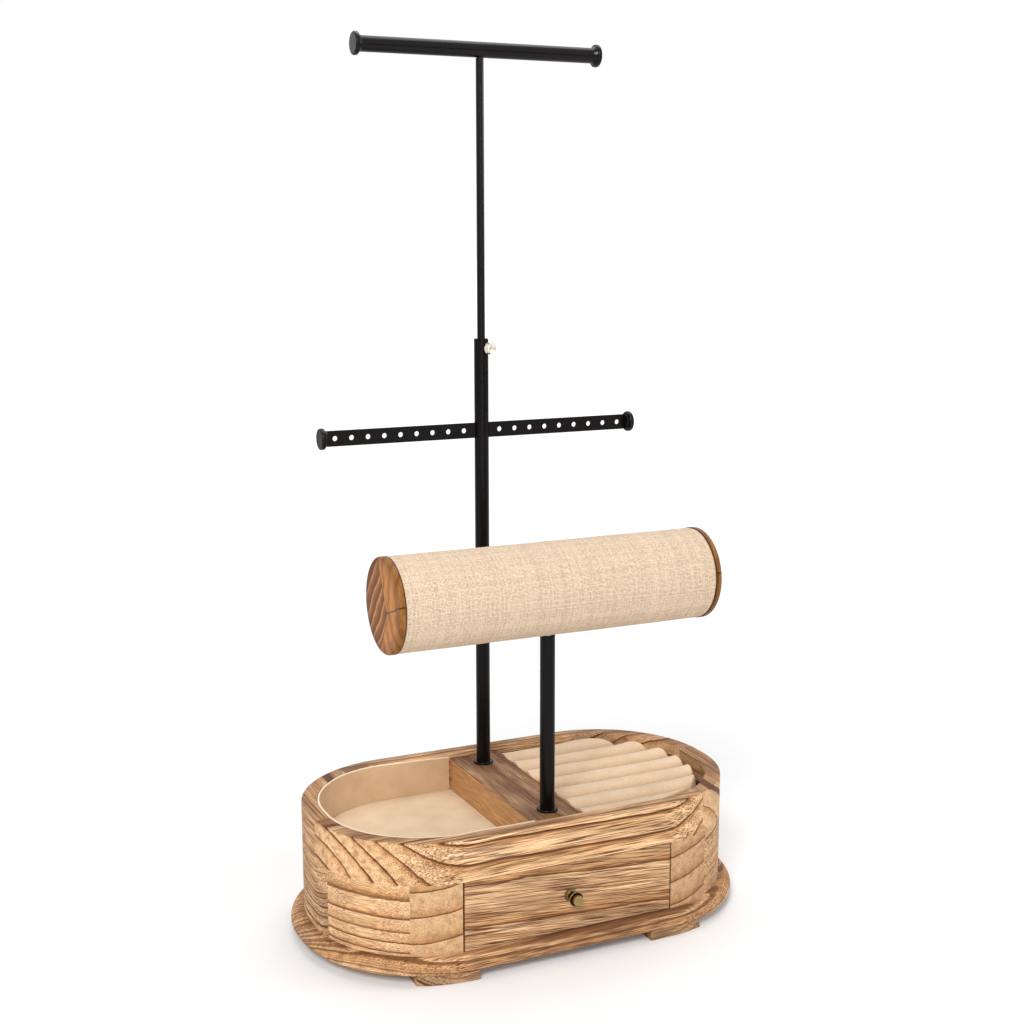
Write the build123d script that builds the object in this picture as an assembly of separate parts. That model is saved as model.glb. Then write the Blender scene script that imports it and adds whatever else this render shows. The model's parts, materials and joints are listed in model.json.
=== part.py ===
from build123d import *

import os
from math import cos, radians, sin, sqrt

# A jewellery stand: a wooden box with a drawer, a lined tray and a ring pad, and on it a
# telescopic mast with an earring bar and a necklace bar, and a post with a bracelet roll.
# Millimetres. The origin is on the surface under the middle of the box. +X is to the right seen
# from the drawer's side, +Y to the back, +Z up.

# ---- Box ----
box_length = 300.0
box_depth = 167.2
end_flat = 9.6  # straight run in the middle of each rounded end
foot_height = 7.2
plate_thickness = 9.2
housing_height = 47.3
top_height = 28.1
plate_overhang = 9.0
plate_lower_round = 1.2
plate_edge = 0.5  # upright stretch between the plate's two rounded edges
housing_wall = 14.0
top_wall = 10.7
rim_round = 1.0

# ---- Feet ----
foot_length = 40.5
foot_width = 15.5
foot_inset = 2.0  # from the plate's edge
foot_reach_left = 67.5  # from the middle to the foot's inner end
foot_reach_right = 57.5

# ---- Glue seams, in degrees round the box's arcs ----
stile_seam = 28.5  # from the front, or from the back
end_seam = 15.8  # from the ends
top_long_seam = 4.6  # from the ends
top_short_seam = 26.0  # from the front, or from the back

# ---- Tray floor, divider, linings ----
floor_thickness = 3.0
floor_bearing = 6.0  # width of the step in the housing that carries the floor
divider_width = 37.6
divider_drop = 4.2  # from the rim to the divider's top
lining_thickness = 1.2
lining_gap = 0.1
lining_end_gap = 1.5  # from the lining's ends to the divider
pad_thickness = 0.8
pad_gap = 0.2

# ---- Ring pad ----
ring_board_thickness = 2.0
ring_roll_count = 7
ring_slot = 0.9  # between two rolls
ring_drop = 1.5  # from the rim to a roll's crest
ring_crown = 7.0  # height of a roll's rounded top
ring_end_round = 7.0
ring_gap = 0.3

# ---- Drawer ----
drawer_opening = 152.8
drawer_side_gap = 0.7
drawer_edge_gap = 0.4
drawer_run_gap = 0.3  # under the drawer
drawer_front_thickness = 9.0
drawer_front_round = 0.5
drawer_wall = 6.0
drawer_headroom = 5.0  # from the drawer's walls to the tray floor
drawer_back_gap = 0.6
drawer_bottom_thickness = 3.0
drawer_bottom_lift = 2.5
groove_depth = 2.5
guide_thickness = 6.0
guide_gap = 0.2
floor_front_gap = 0.6  # between the drawer's front and the tray floor

# ---- Knob ----
knob_height = 24.5  # above the lower edge of the drawer's front
rosette_radius = 4.5
rosette_thickness = 1.2
rosette_step = 0.8
knob_neck_radius = 2.2
knob_neck_length = 5.4
knob_head_radius = 4.85
knob_head_thickness = 4.6
knob_head_round = 0.7
knob_screw_radius = 1.45
knob_screw_depth = 7.0
knob_screw_head_radius = 3.0
knob_screw_head_height = 1.8

# ---- Poles ----
mast_inset = 17.7  # from the divider's back end
post_inset = 23.7  # from the divider's front end
pole_radius = 5.0
pole_wall = 1.2
flange_radius = 7.2
flange_thickness = 1.6
flange_round = 0.8
plug_length = 12.0
bolt_radius = 2.0
bolt_head_radius = 4.0
bolt_head_height = 2.4
bolt_reach = 10.0  # into the plug
thread_gap = 0.05
mast_tube_length = 307.7
post_tube_length = 120.8

# ---- Telescopic rod and its clamp ----
rod_radius = 2.7
rod_gap = 0.05
rod_overlap = 55.0  # of the rod in the tube, fully out
bush_length = 12.0
clamp_drop = 6.5  # from the tube's top to the clamp screw
clamp_turn = 20.0  # degrees from the front towards the right
clamp_screw_radius = 1.5
clamp_hole_gap = 0.2
clamp_tip_gap = 0.3
boss_radius = 3.2
boss_length = 1.6
clamp_head_radius = 4.1
clamp_head_length = 4.5
clamp_head_round = 0.6
clamp_head_gap = 0.4

# ---- Necklace bar ----
necklace_bar_height = 193.2  # from the tube's top to the bar's axis
necklace_bar_length = 180.0
necklace_bar_radius = 5.2
necklace_bar_wall = 1.2
bar_seat_gap = 0.3
spigot_radius = 2.0
spigot_rise = 3.5  # above the bar's axis
hub_length = 16.0
necklace_cap_radius = 7.6
necklace_cap_thickness = 3.2
necklace_cap_neck = 2.0
neck_flare = 1.2  # how much wider the neck gets at the cap
cap_round = 1.0
cap_spigot_length = 6.0

# ---- Earring bar ----
earring_bar_height = 244.0  # from the divider's top to the bar's middle
earring_bar_length = 238.0
earring_bar_width = 10.7
earring_bar_thickness = 1.2
earring_cap_radius = 7.3
earring_cap_thickness = 3.4
earring_cap_collar = 1.5
earring_cap_grip = 2.0
earring_holes_per_side = 9
earring_hole_start = 13.6
earring_hole_margin = 11.0  # from the end of the bar to the last hole
earring_hole_radius = 1.75

# ---- Bracelet roll ----
roll_length = 229.0
roll_radius = 30.85
roll_cap_thickness = 4.5
roll_cap_round = 1.5
linen_thickness = 1.0
core_wall = 2.8
roll_seat_gap = 0.3
roll_block_length = 24.0
stud_radius = 2.95
stud_end_gap = 0.5  # below the insert's upper end
stud_clearance = 0.5
insert_radius = 4.5
insert_length = 18.0

# ---- Worked out from the sizes above ----
half_length = box_length / 2
half_depth = box_depth / 2
corner_radius = half_depth - end_flat / 2
arc_x = half_length - corner_radius
arc_y = end_flat / 2
far = box_length + box_depth  # reaches past the box from any point in it

plate_z = foot_height
housing_z = plate_z + plate_thickness
plate_round = plate_thickness - plate_lower_round - plate_edge
top_z = housing_z + housing_height
rim_z = top_z + top_height
floor_z = top_z - floor_thickness
divider_z = rim_z - divider_drop

drawer_half = drawer_opening / 2 - drawer_side_gap
drawer_z = housing_z + drawer_run_gap
drawer_face_y = -half_depth
drawer_inner_y = drawer_face_y + drawer_front_thickness
drawer_back_y = half_depth - housing_wall - drawer_back_gap
drawer_inner_half = drawer_half - drawer_wall
front_low_z = housing_z + drawer_edge_gap
front_high_z = top_z - drawer_edge_gap
bottom_z = drawer_z + drawer_bottom_lift
drawer_wall_top = floor_z - drawer_headroom
knob_z = front_low_z + knob_height
knob_length = rosette_thickness + rosette_step + knob_neck_length + knob_head_thickness

divider_end = half_depth - top_wall
mast_y = divider_end - mast_inset
post_y = post_inset - divider_end
pole_bore = pole_radius - pole_wall
mast_top = divider_z + mast_tube_length
post_top = divider_z + post_tube_length
clamp_z = mast_top - clamp_drop
necklace_z = mast_top + necklace_bar_height
earring_z = divider_z + earring_bar_height
rod_shoulder = necklace_z - necklace_bar_radius - bar_seat_gap
bar_bore = necklace_bar_radius - necklace_bar_wall
necklace_tube_half = necklace_bar_length / 2 - necklace_cap_thickness - necklace_cap_neck
earring_half = earring_bar_length / 2

roll_z = post_top + roll_seat_gap + roll_radius
core_radius = roll_radius - linen_thickness
core_bore = core_radius - core_wall
insert_low = roll_z - sqrt(core_bore**2 - insert_radius**2)  # where its rim meets the core's bore
insert_top = insert_low + insert_length
stud_top = insert_top - stud_end_gap


def outline(inset):
    """The box's plan, drawn in by inset: a rectangle with large round corners."""
    return RectangleRounded(
        box_length - 2 * inset, box_depth - 2 * inset, corner_radius - inset
    )


def slab(inset, low, high):
    """The box's plan between two heights."""
    return extrude(Pos(0, 0, low) * outline(inset), high - low)


def block(x0, x1, y0, y1, z0, z1):
    """A box between two corners."""
    middle = Pos((x0 + x1) / 2, (y0 + y1) / 2, (z0 + z1) / 2)
    return middle * Box(x1 - x0, y1 - y0, z1 - z0)


def upright(radius, x, y, low, high):
    """An upright cylinder."""
    return Pos(x, y, (low + high) / 2) * Cylinder(radius, high - low)


def lying(radius, y, z, x0, x1):
    """A cylinder along X."""
    return Pos((x0 + x1) / 2, y, z) * Rot(0, 90, 0) * Cylinder(radius, x1 - x0)


def prism(points, low, high):
    """An upright prism on a closed outline of points."""
    face = make_face(Polyline(*[(x, y, low) for x, y in points], close=True))
    return extrude(face, high - low, dir=(0, 0, 1))


def arc_centre(side, end):
    """The centre of one corner arc; side is -1 left or 1 right, end -1 front or 1 back."""
    return (side * arc_x, end * arc_y)


def seam_point(side, end, angle):
    """A point far out on the seam that is angle degrees from the front or back."""
    x, y = arc_centre(side, end)
    turn = radians(angle)
    return (x + side * far * sin(turn), y + end * far * cos(turn))


def save(name, shape):
    export_step(shape, f"parts/{name}.step")


# ---- Base plate and feet ----
def base_plate():
    plate = slab(-plate_overhang, plate_z, housing_z)
    upper = plate.edges().filter_by_position(
        Axis.Z, housing_z, housing_z, inclusive=(True, True)
    )
    plate = fillet(upper, plate_round)
    lower = plate.edges().filter_by_position(
        Axis.Z, plate_z, plate_z, inclusive=(True, True)
    )
    return fillet(lower, plate_lower_round)


def foot(side, end):
    """A block that follows the plate's edge, cut square at both ends."""
    edge = foot_inset - plate_overhang
    strip = slab(edge, 0, plate_z) - slab(edge + foot_width, 0, plate_z)
    reach = foot_reach_left if side < 0 else foot_reach_right
    near, away = sorted((side * reach, side * (reach + foot_length)))
    back, front = sorted((0, end * far))
    return strip & block(near, away, back, front, 0, plate_z)


# ---- Housing: a ring of glued blocks round the drawer ----
def housing_ring():
    ring = slab(0, housing_z, top_z) - slab(housing_wall, housing_z, top_z)
    step = housing_wall - floor_bearing
    return ring - slab(step, floor_z, top_z)


def ring_piece(ring, points):
    return ring & prism(points, 0, rim_z)


def stile(ring, side):
    x = side * drawer_opening / 2
    centre = arc_centre(side, -1)
    points = [centre, seam_point(side, -1, stile_seam), (x, -far), (x, centre[1])]
    return ring_piece(ring, points)


def corner_block(ring, side, end):
    rays = [seam_point(side, end, angle) for angle in (stile_seam, 90 - end_seam)]
    return ring_piece(ring, [arc_centre(side, end), *rays])


def end_block(ring, side):
    front = [arc_centre(side, -1), seam_point(side, -1, 90 - end_seam)]
    back = [seam_point(side, 1, 90 - end_seam), arc_centre(side, 1)]
    return ring_piece(ring, front + back)


def back_board(ring):
    left = [arc_centre(-1, 1), seam_point(-1, 1, stile_seam)]
    right = [seam_point(1, 1, stile_seam), arc_centre(1, 1)]
    return ring_piece(ring, left + right)


def drawer_guide(side):
    inner = drawer_opening / 2
    x0, x1 = sorted((side * inner, side * (inner + guide_thickness)))
    strip = block(x0, x1, -half_depth, half_depth, housing_z, floor_z)
    return strip & slab(housing_wall + guide_gap, housing_z, floor_z)


def tray_floor():
    """The panel under tray and ring pad, notched behind the drawer's front."""
    panel = slab(housing_wall - floor_bearing, floor_z, top_z)
    half = drawer_opening / 2
    notch_y = drawer_inner_y + floor_front_gap
    panel -= block(-half, half, -half_depth, notch_y, floor_z, top_z)
    for y in (mast_y, post_y):
        panel -= upright(bolt_radius + thread_gap, 0, y, floor_z, top_z)
    return panel


# ---- Top frame: two long boards and two end blocks ----
def top_ring():
    ring = slab(0, top_z, rim_z) - slab(top_wall, top_z, rim_z)
    rims = ring.edges().filter_by_position(
        Axis.Z, rim_z, rim_z, inclusive=(True, True)
    )
    return fillet(rims, rim_round)


def top_long_board(ring):
    """The front board, from its seam near the left end to its seam at the right front."""
    left = seam_point(-1, -1, 90 - top_long_seam)
    right = seam_point(1, -1, top_short_seam)
    points = [
        arc_centre(-1, -1),
        left,
        (left[0], -far),
        (right[0], -far),
        right,
        arc_centre(1, -1),
    ]
    return ring_piece(ring, points)


def top_end_block(ring):
    """The left block, from the front board's seam to the back board's."""
    front = seam_point(-1, -1, 90 - top_long_seam)
    back = seam_point(-1, 1, top_short_seam)
    points = [
        arc_centre(-1, -1),
        front,
        (front[0], far),
        (back[0], far),
        back,
        arc_centre(-1, 1),
    ]
    return ring_piece(ring, points)


# ---- Divider and linings ----
def divider_bar():
    half = divider_width / 2
    bar = block(-half, half, -divider_end, divider_end, top_z, divider_z)
    for y in (mast_y, post_y):
        bar -= upright(bolt_radius + thread_gap, 0, y, top_z, divider_z)
    return bar


def tray_wall_lining():
    band = slab(top_wall + lining_gap, top_z, rim_z)
    band -= slab(top_wall + lining_gap + lining_thickness, top_z, rim_z)
    end = -divider_width / 2 - lining_end_gap
    return band & block(-half_length, end, -half_depth, half_depth, top_z, rim_z)


def tray_floor_pad():
    pad = slab(
        top_wall + lining_gap + lining_thickness + pad_gap, top_z, top_z + pad_thickness
    )
    end = -divider_width / 2 - pad_gap
    return pad & block(
        -half_length, end, -half_depth, half_depth, top_z, top_z + pad_thickness
    )


# ---- Ring pad ----
def ring_side(low, high):
    """The space right of the divider, to cut the ring pad from."""
    start = divider_width / 2 + ring_gap
    return block(start, half_length, -half_depth, half_depth, low, high)


def ring_pad_board():
    top = top_z + ring_board_thickness
    return slab(top_wall + ring_gap, top_z, top) & ring_side(top_z, top)


def ring_pad_rolls():
    """Padded rolls side by side, with crowned tops and ends that round off along the arc."""
    low = top_z + ring_board_thickness
    crest = rim_z - ring_drop
    envelope = slab(top_wall + ring_gap, low, crest)
    upper = envelope.edges().filter_by_position(
        Axis.Z, crest, crest, inclusive=(True, True)
    )
    envelope = fillet(upper, ring_end_round) & ring_side(low, crest)
    pitch = (box_depth - 2 * top_wall - 2 * ring_gap) / ring_roll_count
    half = (pitch - ring_slot) / 2
    rolls = []
    for k in range(ring_roll_count):
        y = (k - (ring_roll_count - 1) / 2) * pitch
        crown = ThreePointArc(
            (0, y - half, crest - ring_crown),
            (0, y, crest),
            (0, y + half, crest - ring_crown),
        )
        sides = Polyline(
            (0, y + half, crest - ring_crown),
            (0, y + half, low),
            (0, y - half, low),
            (0, y - half, crest - ring_crown),
        )
        section = make_face(Curve() + [crown, sides])
        roll = extrude(section, half_length, dir=(1, 0, 0))
        rolls.append(roll & envelope)
    return Compound(children=[solid for roll in rolls for solid in roll.solids()])


# ---- Drawer ----
def drawer_bottom():
    """The drawer's bottom, which lies in grooves in the front, sides and back."""
    half = drawer_inner_half + groove_depth
    back = drawer_back_y - drawer_wall + groove_depth
    front = drawer_inner_y - groove_depth
    top = bottom_z + drawer_bottom_thickness
    return block(-half, half, front, back, bottom_z, top)


def drawer_front():
    front = block(
        -drawer_half,
        drawer_half,
        drawer_face_y,
        drawer_inner_y,
        front_low_z,
        front_high_z,
    )
    face_edges = front.edges().filter_by_position(
        Axis.Y, drawer_face_y, drawer_face_y, inclusive=(True, True)
    )
    front = fillet(face_edges, drawer_front_round)
    hole = Pos(0, (drawer_face_y + drawer_inner_y) / 2, knob_z) * Rot(90, 0, 0)
    front -= hole * Cylinder(
        knob_screw_radius + thread_gap, drawer_front_thickness
    )
    return front - drawer_bottom()


def drawer_side(side):
    x0, x1 = sorted((side * drawer_inner_half, side * drawer_half))
    wall = block(x0, x1, drawer_inner_y, drawer_back_y, drawer_z, drawer_wall_top)
    return wall - drawer_bottom()


def drawer_back():
    half = drawer_inner_half
    inner_y = drawer_back_y - drawer_wall
    wall = block(-half, half, inner_y, drawer_back_y, drawer_z, drawer_wall_top)
    return wall - drawer_bottom()


def drawer_lining():
    half = drawer_inner_half - pad_gap
    low = bottom_z + drawer_bottom_thickness
    front = drawer_inner_y + pad_gap
    back = drawer_back_y - drawer_wall - pad_gap
    return block(-half, half, front, back, low, low + pad_thickness)


def facing_front(z):
    """Places what was made along +Z on the drawer's face, pointing to the front."""
    return Pos(0, drawer_face_y, z) * Rot(90, 0, 0)


def drawer_knob():
    """A turned knob: a stepped rosette, a waisted neck and a drum head."""
    step_radius = rosette_radius - rosette_step
    neck_start = rosette_thickness + rosette_step
    neck_end = neck_start + knob_neck_length
    rosette = upright(rosette_radius, 0, 0, 0, rosette_thickness)
    rosette += upright(step_radius, 0, 0, rosette_thickness, neck_start)
    waist = ThreePointArc(
        (step_radius, 0, neck_start),
        (knob_neck_radius, 0, (neck_start + neck_end) / 2),
        (step_radius, 0, neck_end),
    )
    rest = Polyline(
        (step_radius, 0, neck_end),
        (0, 0, neck_end),
        (0, 0, neck_start),
        (step_radius, 0, neck_start),
    )
    neck = revolve(make_face(Curve() + [waist, rest]), Axis.Z)
    head = upright(knob_head_radius, 0, 0, neck_end, knob_length)
    head = fillet(head.edges().filter_by(GeomType.CIRCLE), knob_head_round)
    knob = rosette + neck + head
    depth = knob_screw_depth - knob_screw_head_height
    knob -= upright(knob_screw_radius, 0, 0, 0, depth)
    return facing_front(knob_z) * knob


def drawer_knob_screw():
    tail = knob_screw_depth - knob_screw_head_height
    shank = upright(knob_screw_radius, 0, 0, -drawer_front_thickness, tail)
    head = upright(
        knob_screw_head_radius,
        0,
        0,
        -drawer_front_thickness - knob_screw_head_height,
        -drawer_front_thickness,
    )
    return facing_front(knob_z) * (shank + head)


# ---- Poles ----
def pole_tube(y, top):
    tube = upright(pole_radius, 0, y, divider_z, top)
    return tube - upright(pole_bore, 0, y, divider_z, top)


def pole_flange(y):
    """A collar round the foot of a pole."""
    ring = upright(flange_radius, 0, y, divider_z, divider_z + flange_thickness)
    top = divider_z + flange_thickness
    rim = ring.edges().filter_by_position(Axis.Z, top, top, inclusive=(True, True))
    ring = fillet(rim, flange_round)
    return ring - upright(pole_radius, 0, y, divider_z, top)


def pole_plug(y):
    """A threaded plug pressed into the foot of a pole."""
    top = divider_z + plug_length
    plug = upright(pole_bore, 0, y, divider_z, top)
    return plug - upright(bolt_radius + thread_gap, 0, y, divider_z, top)


def pole_bolt(y):
    """Comes up through the tray floor and the divider into the plug."""
    shank = upright(bolt_radius, 0, y, floor_z, divider_z + bolt_reach)
    head = upright(bolt_head_radius, 0, y, floor_z - bolt_head_height, floor_z)
    return shank + head


def mast_tube():
    tube = pole_tube(mast_y, mast_top)
    return tube - clamp_cylinder(clamp_screw_radius + clamp_hole_gap, 0, pole_radius)


def mast_bush():
    low = mast_top - bush_length
    bush = upright(pole_bore, 0, mast_y, low, mast_top)
    bush -= upright(rod_radius + rod_gap, 0, mast_y, low, mast_top)
    return bush - clamp_cylinder(clamp_screw_radius + clamp_hole_gap, 0, pole_radius)


# ---- Clamp screw at the mast's top ----
def clamp_cylinder(radius, start, end):
    """A cylinder along the clamp screw, between two distances from the mast's axis."""
    turn = Rot(0, 0, clamp_turn) * Rot(90, 0, 0)
    along = Pos(0, 0, (start + end) / 2) * Cylinder(radius, end - start)
    return Pos(0, mast_y, clamp_z) * turn * along


def thumb_screw_boss():
    boss = clamp_cylinder(boss_radius, 0, pole_radius + boss_length)
    boss -= upright(pole_radius, 0, mast_y, clamp_z - pole_radius, mast_top)
    return boss - clamp_cylinder(
        clamp_screw_radius + thread_gap, 0, pole_radius + boss_length
    )


def thumb_screw():
    seat = pole_radius + boss_length + clamp_head_gap
    shank = clamp_cylinder(clamp_screw_radius, rod_radius + clamp_tip_gap, seat)
    head = clamp_cylinder(clamp_head_radius, seat, seat + clamp_head_length)
    head = fillet(head.edges().filter_by(GeomType.CIRCLE), clamp_head_round)
    return shank + head


# ---- Upper rod and necklace bar ----
def upper_rod():
    rod = upright(rod_radius, 0, mast_y, mast_top - rod_overlap, rod_shoulder)
    return rod + upright(
        spigot_radius, 0, mast_y, rod_shoulder, necklace_z + spigot_rise
    )


def spigot_hole(top):
    low = necklace_z - 2 * necklace_bar_radius
    return upright(spigot_radius + rod_gap, 0, mast_y, low, top)


def necklace_bar():
    half = necklace_tube_half
    bar = lying(necklace_bar_radius, mast_y, necklace_z, -half, half)
    bar -= lying(bar_bore, mast_y, necklace_z, -half, half)
    return bar - spigot_hole(necklace_z)


def necklace_bar_hub():
    """A threaded plug inside the bar that takes the rod's end."""
    half = hub_length / 2
    hub = lying(bar_bore, mast_y, necklace_z, -half, half)
    return hub - spigot_hole(necklace_z + spigot_rise + rod_gap)


def cap_disc(radius, thickness):
    """A disc with rounded rims, made along +Z from its face."""
    disc = upright(radius, 0, 0, 0, thickness)
    return fillet(disc.edges().filter_by(GeomType.CIRCLE), cap_round)


def at_end(side, half, z):
    """Places a cap made along +Z at a bar's end, with its face outwards."""
    return Pos(side * half, mast_y, z) * Rot(0, -side * 90, 0)


def necklace_cap(side):
    """A disc with a flared neck and a spigot that is pressed into the bar."""
    back = necklace_cap_thickness
    seat = back + necklace_cap_neck
    neck = Cone(necklace_bar_radius + neck_flare, necklace_bar_radius, necklace_cap_neck)
    cap = cap_disc(necklace_cap_radius, back)
    cap += Pos(0, 0, (back + seat) / 2) * neck
    cap += upright(bar_bore, 0, 0, seat, seat + cap_spigot_length)
    return at_end(side, necklace_bar_length / 2, necklace_z) * cap


# ---- Earring bar ----
def earring_bar(side):
    """One half of the bar, welded to the side of the mast tube, with its row of holes."""
    end = earring_half - earring_cap_thickness + earring_cap_grip
    x0, x1 = sorted((0, side * end))
    half_t = earring_bar_thickness / 2
    half_w = earring_bar_width / 2
    bar = block(
        x0, x1, mast_y - half_t, mast_y + half_t, earring_z - half_w, earring_z + half_w
    )
    bar -= upright(pole_radius, 0, mast_y, earring_z - half_w, earring_z + half_w)
    last = earring_half - earring_hole_margin
    pitch = (last - earring_hole_start) / (earring_holes_per_side - 1)
    for k in range(earring_holes_per_side):
        x = side * (earring_hole_start + k * pitch)
        hole = Pos(x, mast_y, earring_z) * Rot(90, 0, 0)
        bar -= hole * Cylinder(earring_hole_radius, earring_bar_width)
    return bar


def earring_cap(side):
    """A disc whose collar has a slot that grips the end of the bar."""
    back = earring_cap_thickness
    cap = cap_disc(earring_cap_radius, back)
    cap += upright(earring_bar_width / 2, 0, 0, back, back + earring_cap_collar)
    cap = at_end(side, earring_half, earring_z) * cap
    return cap - earring_bar(side)


# ---- Bracelet roll on its post ----
def post_stud():
    """A plug in the post's top with the stud that the roll turns on."""
    plug = upright(pole_bore, 0, post_y, post_top - plug_length, post_top)
    return plug + upright(stud_radius, 0, post_y, post_top, stud_top)


def stud_hole(radius):
    return upright(radius, 0, post_y, roll_z - roll_radius, roll_z)


def roll_shell(outer, inner):
    """A tube along X between the roll's two end caps, with a hole for the stud."""
    half = roll_length / 2 - roll_cap_thickness
    tube = lying(outer, post_y, roll_z, -half, half)
    tube -= lying(inner, post_y, roll_z, -half, half)
    return tube - stud_hole(stud_radius + stud_clearance)


def roll_cap(side):
    cap = upright(roll_radius, 0, 0, 0, roll_cap_thickness)
    face = cap.edges().filter_by_position(Axis.Z, 0, 0, inclusive=(True, True))
    cap = fillet(face, roll_cap_round)
    turn = Rot(0, -side * 90, 0)
    return Pos(side * roll_length / 2, post_y, roll_z) * turn * cap


def roll_block():
    """A wooden disc across the core, which holds the threaded insert."""
    half = roll_block_length / 2
    disc = lying(core_bore, post_y, roll_z, -half, half)
    return disc - upright(insert_radius, 0, post_y, post_top, insert_top)


def roll_insert():
    insert = upright(insert_radius, 0, post_y, insert_low, insert_top)
    bore_radius = stud_radius + thread_gap
    return insert - upright(bore_radius, 0, post_y, insert_low, insert_top)


def main():
    os.makedirs("parts", exist_ok=True)

    save("base_plate", base_plate())
    sides = {"left": -1, "right": 1}
    ends = {"front": -1, "back": 1}
    ring = housing_ring()
    for side, s in sides.items():
        for end, e in ends.items():
            save(f"foot_{end}_{side}", foot(s, e))
            save(f"corner_{end}_{side}", corner_block(ring, s, e))
        save(f"stile_{side}", stile(ring, s))
        save(f"end_block_{side}", end_block(ring, s))
        save(f"drawer_guide_{side}", drawer_guide(s))
        save(f"drawer_side_{side}", drawer_side(s))
        save(f"earring_bar_{side}", earring_bar(s))
        save(f"earring_cap_{side}", earring_cap(s))
        save(f"necklace_cap_{side}", necklace_cap(s))
        save(f"roll_cap_{side}", roll_cap(s))
    save("back_board", back_board(ring))
    save("tray_floor", tray_floor())

    frame = top_ring()
    long_board = top_long_board(frame)
    short_block = top_end_block(frame)
    half_turn = Rot(0, 0, 180)
    save("top_front_board", long_board)
    save("top_back_board", half_turn * long_board)
    save("top_left_block", short_block)
    save("top_right_block", half_turn * short_block)

    save("divider_bar", divider_bar())
    save("tray_wall_lining", tray_wall_lining())
    save("tray_floor_pad", tray_floor_pad())
    save("ring_pad_board", ring_pad_board())
    save("ring_pad_rolls", ring_pad_rolls())

    save("drawer_front", drawer_front())
    save("drawer_back", drawer_back())
    save("drawer_bottom", drawer_bottom())
    save("drawer_lining", drawer_lining())
    save("drawer_knob", drawer_knob())
    save("drawer_knob_screw", drawer_knob_screw())

    save("mast_tube", mast_tube())
    save("mast_flange", pole_flange(mast_y))
    save("mast_bush", mast_bush())
    save("thumb_screw_boss", thumb_screw_boss())
    save("thumb_screw", thumb_screw())
    save("post_tube", pole_tube(post_y, post_top))
    save("post_flange", pole_flange(post_y))
    save("post_stud", post_stud())
    save("pole_plugs", Compound(children=[pole_plug(mast_y), pole_plug(post_y)]))
    save("pole_bolts", Compound(children=[pole_bolt(mast_y), pole_bolt(post_y)]))

    save("upper_rod", upper_rod())
    save("necklace_bar", necklace_bar())
    save("necklace_bar_hub", necklace_bar_hub())

    save("linen_cover", roll_shell(roll_radius, core_radius))
    save("roll_core", roll_shell(core_radius, core_bore))
    save("roll_block", roll_block())
    save("roll_insert", roll_insert())


main()
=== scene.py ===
import json
import math

import bmesh
import bpy
import numpy as np
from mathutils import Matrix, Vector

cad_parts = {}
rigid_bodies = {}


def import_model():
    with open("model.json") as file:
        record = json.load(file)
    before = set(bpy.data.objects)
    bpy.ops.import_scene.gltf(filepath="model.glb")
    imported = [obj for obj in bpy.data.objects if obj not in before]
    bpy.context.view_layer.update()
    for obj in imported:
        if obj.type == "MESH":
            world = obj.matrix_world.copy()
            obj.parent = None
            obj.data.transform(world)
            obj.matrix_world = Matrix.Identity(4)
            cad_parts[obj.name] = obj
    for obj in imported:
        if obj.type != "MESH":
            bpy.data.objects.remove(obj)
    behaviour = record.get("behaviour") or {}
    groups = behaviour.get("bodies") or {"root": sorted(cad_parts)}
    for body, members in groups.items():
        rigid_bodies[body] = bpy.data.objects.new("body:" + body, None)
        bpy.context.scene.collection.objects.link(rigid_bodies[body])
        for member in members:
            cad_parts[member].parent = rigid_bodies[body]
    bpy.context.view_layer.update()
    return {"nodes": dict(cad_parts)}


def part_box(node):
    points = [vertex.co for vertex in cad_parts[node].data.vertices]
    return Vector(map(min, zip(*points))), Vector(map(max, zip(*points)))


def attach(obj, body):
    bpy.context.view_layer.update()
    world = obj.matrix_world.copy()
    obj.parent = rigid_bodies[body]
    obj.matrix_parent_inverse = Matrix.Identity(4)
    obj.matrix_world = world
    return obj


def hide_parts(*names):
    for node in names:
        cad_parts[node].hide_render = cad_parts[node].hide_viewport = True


for leftover in list(bpy.data.objects):
    bpy.data.objects.remove(leftover)

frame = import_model()
nodes = frame["nodes"]
MM = 0.001


# ---- Base plate and feet ----
# Boards of light, soft wood, burnt with a flame and then brushed, so that the growth lines turn
# dark brown and the wood between them stays honey coloured. The plate is one wide board with a
# rounded upper edge, and the four feet are glued under its rim.
def seen(red, green, blue):
    """A colour as a screen shows it, from 0 to 255, as linear red, green, blue and alpha."""
    share = np.array([red, green, blue]) / 255
    linear = np.where(share <= 0.04045, share / 12.92, ((share + 0.055) / 1.055) ** 2.4)
    return (*linear.tolist(), 1.0)


def new_finish(name):
    """A material with nothing but its main shader."""
    finish = bpy.data.materials.new(name)
    finish.use_nodes = True
    return finish, finish.node_tree.nodes["Principled BSDF"]


def new_node(finish, kind):
    """A new shader node of that kind in the material, or in the world."""
    return finish.node_tree.nodes.new("ShaderNode" + kind)


def feed(finish, value, socket):
    """Links an output to a socket, or sets the socket to a plain value."""
    if isinstance(value, bpy.types.NodeSocket):
        finish.node_tree.links.new(value, socket)
    else:
        socket.default_value = value


def settings(finish, step, values):
    """Feeds the named inputs of a node."""
    for part, value in values.items():
        feed(finish, value, step.inputs[part])


def number(finish, operation, *values):
    """One sum on numbers, such as ADD, MULTIPLY or FRACT."""
    step = new_node(finish, "Math")
    step.operation = operation
    for value, socket in zip(values, step.inputs):
        feed(finish, value, socket)
    return step.outputs[0]


def vector(finish, operation, *values):
    """One sum on vectors; a length or a dot product comes out as a number."""
    step = new_node(finish, "VectorMath")
    step.operation = operation
    sockets = list(step.inputs)
    if operation == "SCALE":
        sockets = [step.inputs["Vector"], step.inputs["Scale"]]
    for value, socket in zip(values, sockets):
        feed(finish, value, socket)
    plain = operation in ("LENGTH", "DOT_PRODUCT")
    return step.outputs["Value" if plain else "Vector"]


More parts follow.
